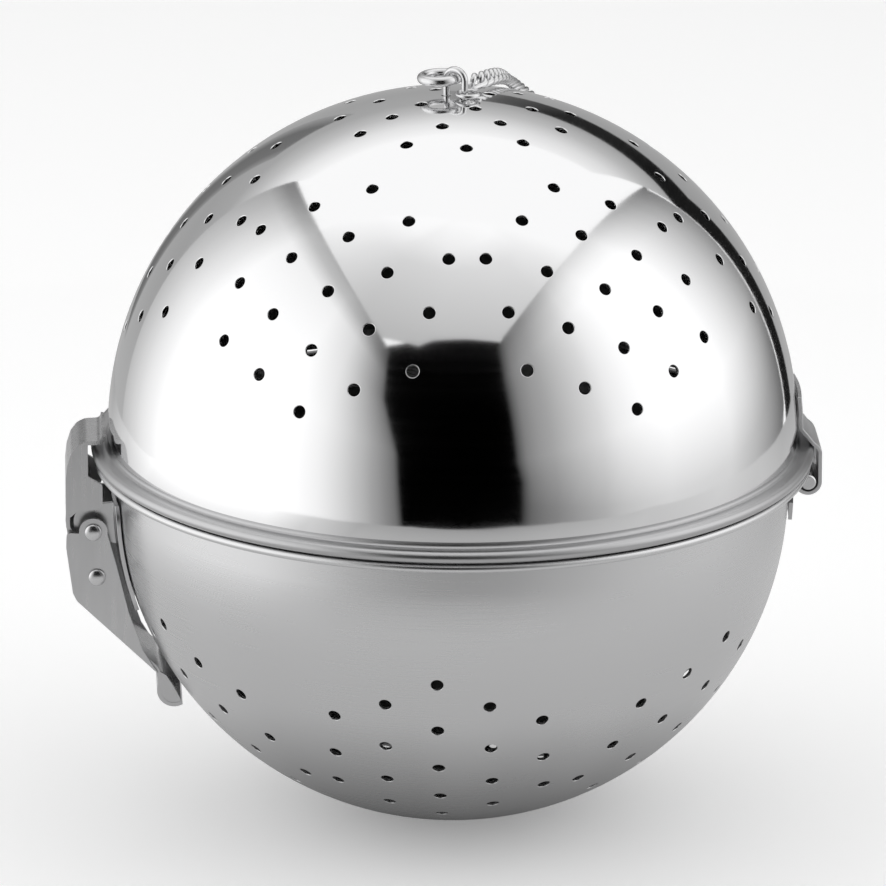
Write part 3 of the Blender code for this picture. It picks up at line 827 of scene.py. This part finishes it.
def make_hinge(leaf_metal, pin_metal):
    pin = JOINT["lid_hinge"]
    seat = LID_R + GAP + HALF_SHEET

    def wrapped(corner):
        """Follows the dome's curve where the leaf lies on it, and stands straight at the knuckles."""
        share = min(1.0, max(0.0, (corner.z - RIM_Z - 1.0 * MM) / (3.5 * MM)))
        bend = corner.y / corner.x
        near = Vector((corner.x * math.cos(bend), corner.x * math.sin(bend), corner.z))
        return corner.lerp(near, share)

    path = arc((0, LID_CENTRE.z), seat, 7.0, 1.4, 8)
    path += from_rim([(71.9, 4.6), (73.0, 3.0), (73.9, 2.2), (74.25, 1.2)])
    path = rounded(path, 2.0 * MM, 3, closed=False)
    path += arc((pin.x, pin.z), KNUCKLE_R, 0, -255, 30)
    room = KNUCKLE_HALF + GAP
    top = RIM_Z - 1.0 * MM
    notch = rounded([(pin.x - 5 * MM, top - 10 * MM), (pin.x + 5 * MM, top - 10 * MM),
                     (pin.x + 5 * MM, top), (pin.x - 5 * MM, top)], 0.5 * MM)
    leaf = strip(path, HINGE_HALF, hug=wrapped)
    mesh = finished("hinge_strap", leaf, cuts=[prism(notch, -room, room)])
    add("hinge_strap", mesh, leaf_metal, "lid", ("hinge_leaf_lid",))

    seat = BOWL_R + GAP + HALF_SHEET

    def around(corner):
        bend = corner.y / corner.x
        return Vector((corner.x * math.cos(bend), corner.x * math.sin(bend), corner.z))

    wall = arc((0, BOWL_CENTRE.z), seat, -4.6, -1.6, 6)
    arm = [wall[2], wall[3], wall[4], wall[5], wall[6], (BOWL_R + 1.5 * MM, RIM_Z - 8.1 * MM)]
    arm += arc((pin.x, pin.z), KNUCKLE_R, -100, 195, 30)
    mesh = finished("hinge_plate", strip(wall, HINGE_HALF, hug=around), joins=[strip(arm, KNUCKLE_HALF)])
    add("hinge_plate", mesh, leaf_metal, "bowl", ("hinge_leaf_bowl",))

    end = HINGE_HALF + 0.55 * MM
    profile = [(0, -end), (HINGE_PIN_R - 0.3 * MM, -end), (HINGE_PIN_R, -end + 0.3 * MM)]
    profile += [(r, -z) for r, z in reversed(profile)]
    mesh = finished("pivot_pin", turned(profile, 40, along_y(pin.x, pin.z)), edge=0.08 * MM)
    add("pivot_pin", mesh, pin_metal, "bowl", ("hinge_pin",))


# ---------------------------------------------------------------- latch

def make_rivet(name, pin, half, metal, body, node):
    """A pin along Y with a low domed head outside each cheek."""
    head = half + GAP
    dome = [(RIVET_HEAD_R * math.sin(a), -head - RIVET_HEAD_T * math.cos(a))
            for a in (math.radians(90 * i / 8) for i in range(9))]
    profile = dome + [(RIVET_R, -head + 0.1 * MM)]
    profile += [(r, -z) for r, z in reversed(profile)]
    mesh = finished(name, turned(profile, 40, along_y(pin.x, pin.z)), edge=0.0)
    add(name, mesh, metal, body, (node,))


def make_latch_base(metal):
    """A plate that hugs the bowl, with two ears that carry the lever's rivet."""
    pivot = JOINT["lever_pivot"]
    seat = BOWL_R + GAP + HALF_SHEET
    path = [(-x, z) for x, z in arc((0, BOWL_CENTRE.z), seat, -0.6, -19.6, 16)]

    def around(corner):
        bend = corner.y / corner.x
        return Vector((corner.x * math.cos(bend), corner.x * math.sin(bend), corner.z))

    half = BASE_HALF_TURN * seat
    widths = [half * (1 - 0.12 * max(0.0, 1 - min(i, 16 - i) / 2) ** 2) for i in range(17)]
    plate = strip(path, widths, across=12, hug=around)
    reach = BOWL_R + GAP + 0.6 * SHEET
    back = []
    for drop in (17.5, 14.5, 11.5, 8.6):
        z = RIM_Z - drop * MM
        back.append((-math.sqrt(reach**2 - (EAR_Y + SHEET)**2 - (z - BOWL_CENTRE.z) ** 2), z))
    outline = back + arc((pivot.x, pivot.z + 1.6 * MM), 4.0 * MM, 70, 200, 18)
    outline += [(pivot.x - 2.4 * MM, pivot.z - 2.2 * MM)]
    ears = [prism(outline, side * EAR_Y - HALF_SHEET, side * EAR_Y + HALF_SHEET) for side in (-1, 1)]
    mesh = finished("latch_plate", plate, joins=ears, edge=0.1 * MM)
    add("latch_plate", mesh, metal, "bowl", ("latch_base",))


def make_lever(metal):
    """A channel of bent sheet: two cheeks, a web along their lower edge, and a rolled finger tab."""
    pivot = JOINT["lever_pivot"]
    crown = arc((pivot.x, pivot.z), 2.9 * MM, -10, 185, 24)
    lower = from_rim([(-78.5, -14.3), (-78.6, -17.5), (-77.3, -27.2), (-76.5, -28.9), (-59.8, -45.0)])
    upper = from_rim([(-60.9, -43.4), (-63.2, -39.6), (-66.0, -31.6), (-68.4, -21.5)])
    outline = crown + rounded([crown[-1], *lower, *upper, crown[0]], 2.0 * MM, 5, closed=False)[1:-1]
    low = LEVER_HALF - SHEET
    cheek, far = prism(outline, -LEVER_HALF, -low), prism(outline, low, LEVER_HALF)
    tab = rounded(from_rim([(-76.3, -28.4), (-60.3, -43.8), (-59.35, -47.2)]), 3.0 * MM, 6, closed=False)
    tab += arc((-56.8 * MM, RIM_Z - 48.6 * MM), 3.1 * MM, 158, 300, 18)
    full = LEVER_HALF - 0.3 * SHEET
    widths = [full if z > RIM_Z - 42.0 * MM else full - 0.6 * MM for x, z in tab]
    web = strip(tab, widths)
    lobe = from_rim([(-59.7, -44.6), (-58.4, -45.4), (-57.2, -47.4), (-55.7, -50.4)])
    lobe += arc((-56.8 * MM, RIM_Z - 48.6 * MM), 3.3 * MM, 300, 158, 14)
    inner = full - 0.7 * MM
    ends = [prism(lobe, *sorted((side * inner, side * (inner - SHEET)))) for side in (-1, 1)]
    mesh = finished("latch_handle", web, joins=[cheek, far, *ends], edge=0.22 * MM)
    add("latch_handle", mesh, metal, "lever", ("latch_lever",))


def make_hook(metal):
    """A strap from its curl about the rivet to the lip that bears on the lid, with a flange each side."""
    pin = JOINT["hook_swing"]
    curl = arc((pin.x, pin.z), RIVET_R + GAP + HALF_SHEET, 60, -180, 26)
    run = from_rim([(-74.6, -20.5), (-75.3, -17.9)]) + [(HOOK_FACE_X, RIM_Z - 13.6 * MM)]
    top = [(HOOK_FACE_X, RIM_Z - 3.4 * MM)] + from_rim([
        (-77.9, -0.6), (-77.1, 2.0), (-75.9, 3.6), (-74.4, 4.3), (-72.0, 4.4), (-71.2, 4.8), (-70.85, 5.9)])
    path = rounded([curl[-1], *run, *top], 2.0 * MM, 5, closed=False)
    strap = strip(curl[:-1] + path, HOOK_HALF)
    flange = from_rim([(-78.25, -12.0), (-76.6, -10.4), (-72.6, -9.8), (-71.2, -8.8), (-71.2, -4.6),
                       (-74.1, -2.9), (-74.1, 4.3), (-75.9, 3.65), (-77.0, 2.05), (-77.85, -0.55),
                       (-78.25, -3.4)])
    flanges = []
    for side in (-1, 1):
        edge = side * (HOOK_HALF - 0.05 * MM)
        other = edge - side * SHEET
        flanges.append(prism(rounded(flange, 0.6 * MM, 3), min(edge, other), max(edge, other)))
    mesh = finished("latch_strap", strap, joins=flanges, edge=0.16 * MM)
    add("latch_strap", mesh, metal, "hook", ("latch_hook",))


# ---------------------------------------------------------------- eye, rings and chain

def eye_axis():
    return Vector((math.cos(EYE_TURN), math.sin(EYE_TURN), 0))


def make_eye(metal):
    """A wire staple through two holes at the lid's pole, clinched inside."""
    u = eye_axis()
    inside = POLE_Z - SHELL_T - EYE_WIRE_R - GAP
    legs = POLE_Z + EYE_HEIGHT - EYE_HALF
    leg = [u * 6.2 * MM + Vector((0, 0, inside - 0.5 * MM)),
           u * 3.6 * MM + Vector((0, 0, inside - 0.25 * MM)),
           u * 2.6 * MM + Vector((0, 0, inside + 0.1 * MM)),
           u * EYE_HALF + Vector((0, 0, inside + 0.9 * MM)),
           u * EYE_HALF + Vector((0, 0, POLE_Z + 1.6 * MM))]
    turns = [math.radians(180 * i / 12) for i in range(13)]
    over = [u * EYE_HALF * math.cos(a) + Vector((0, 0, legs + EYE_HALF * math.sin(a))) for a in turns]
    back = [Vector((-p.x, -p.y, p.z)) for p in reversed(leg)]
    bm = bmesh.new()
    tube(bm, smooth_line(leg + over + back, 4), EYE_WIRE_R, 20)
    add("eye_staple", from_bmesh("eye_staple", bm, 60), metal, "lid", ("lid_eye",))


def circle(centre, first, second, radius, count):
    turns = [2 * math.pi * i / count for i in range(count)]
    return [centre + (first * math.cos(t) + second * math.sin(t)) * radius for t in turns]


def make_rings(metal):
    u = eye_axis()
    through = Vector((-u.y, u.x, 0))
    thread = JOINT["ring_fold"]
    down = -u * math.cos(RING_DIP) - Vector((0, 0, math.sin(RING_DIP)))
    along = Vector((u.y, -u.x, 0))
    bm = bmesh.new()
    tube(bm, circle(thread + down * RING_R, down, along, RING_R, 72), RING_WIRE_R, 24, closed=True)
    add("pull_ring", from_bmesh("pull_ring", bm, 60), metal, "ring", ("eye_ring",))

    centre = u * 2.65 * MM + through * 0.5 * MM + Vector((0, 0, POLE_Z + 0.9 * MM))
    bm = bmesh.new()
    tube(bm, circle(centre, u, through, LINK_RING_R, 48), LINK_WIRE_R, 16, closed=True)
    add("jump_ring", from_bmesh("jump_ring", bm, 60), metal, "lid", ("chain_ring",))


def chain_points():
    """The chain's middle, laid over the lid."""
    lift = LID_R + CHAIN_D / 2 + GAP
    points = []
    for tilt, turn in CHAIN_ROUTE:
        t, a = math.radians(tilt), math.radians(turn)
        spoke = Vector((math.sin(t) * math.cos(a), math.sin(t) * math.sin(a), math.cos(t)))
        points.append(LID_CENTRE + spoke * lift)
    return points


def spaced(points, count):
    """Points at equal distances along a line, with the direction of travel at each."""
    runs = [(b - a).length for a, b in zip(points, points[1:])]
    total = sum(runs)
    out = []
    span, passed = 0, 0.0
    for k in range(count):
        want = total * k / (count - 1)
        while span < len(runs) - 1 and passed + runs[span] < want:
            passed += runs[span]
            span += 1
        a, b = points[span], points[span + 1]
        out.append((a.lerp(b, (want - passed) / runs[span]), (b - a).normalized()))
    return out


LINK_WIRE = 0.60 * MM
LINK_HALF_WIDTH = 1.24 * MM
LINK_HALF_LENGTH = 2.05 * MM
LINK_PITCH = 2.90 * MM
LINK_TWIST = math.radians(48.0)
LINK_ROLL = math.radians(-55.0)  # the chain leaves the eye on its edge, and lies flat further on


def make_chain(metal):
    """Curb links, each twisted so that its two ends lie across each other."""
    route = chain_points()
    line = smooth_line(route, 8)
    total = sum((b - a).length for a, b in zip(route, route[1:]))
    count = round((total - 2 * LINK_HALF_LENGTH) / LINK_PITCH) + 1
    inset = LINK_HALF_LENGTH + LINK_WIRE
    steps = spaced(line, 400)
    bm = bmesh.new()
    for n in range(count):
        share = (inset + (total - 2 * inset) * n / (count - 1)) / total
        centre, travel = steps[round(share * (len(steps) - 1))]
        out = (centre - LID_CENTRE).normalized()
        out = (out - travel * out.dot(travel)).normalized()
        across = travel.cross(out)
        roll = LINK_ROLL * max(0.0, 1 - 1.8 * share)
        straight = LINK_HALF_LENGTH - LINK_HALF_WIDTH
        loop = []
        for k in range(28):
            a = 2 * math.pi * k / 28
            x = math.copysign(straight, math.cos(a)) + LINK_HALF_WIDTH * math.cos(a)
            y = LINK_HALF_WIDTH * math.sin(a)
            twist = LINK_TWIST * x / LINK_HALF_LENGTH + roll
            loop.append(centre + travel * x + across * y * math.cos(twist) + out * y * math.sin(twist))
        tube(bm, loop, LINK_WIRE, 12, closed=True)
    chain = add("chain_links", from_bmesh("chain_links", bm, 60), metal, "lid", ("chain",))

    end = route[-1]
    out = (end - LID_CENTRE).normalized()
    side = (end - route[-2]).cross(out).normalized()
    down = out.cross(side)
    start = end + down * (HOOK_WIRE_R + GAP) - out * 0.4 * MM
    upper = [(a, HOOK_BEND_R) for a in range(110, -136, -35)]
    lower = [(a, HOOK_BEND_R * 3.4) for a in range(45, 256, 35)]
    bends = [start + side * HOOK_BEND_R * math.sin(math.radians(a))
             + down * (middle - HOOK_BEND_R * math.cos(math.radians(a))) for a, middle in upper + lower]
    bm = bmesh.new()
    tube(bm, smooth_line(bends, 6), HOOK_WIRE_R, 16)
    hook = add("pot_hook", from_bmesh("pot_hook", bm, 60), metal, "lid", ("chain_hook",))


make_camera()
plated = plated_wire()
make_chain(plated)
make_studio()
stamped = stamped_steel()
# The inner finish is unpolished steel darkened as painted shade.
inner_shade, satin = inner_steel_painted_shade(), satin_steel()
make_lid([polished_steel(), inner_shade, rolled_rim_painted_shade()])
make_bowl([satin, inner_shade, satin])
make_hinge(stamped, plated)
make_latch_base(stamped)
make_lever(stamped)
make_hook(stamped)
make_rivet("lever_pin", JOINT["lever_pivot"], LEVER_HALF, plated, "bowl", "lever_rivet")
make_rivet("hook_pin", JOINT["hook_swing"], LEVER_HALF, plated, "lever", "hook_rivet")
make_eye(plated)
make_rings(plated)
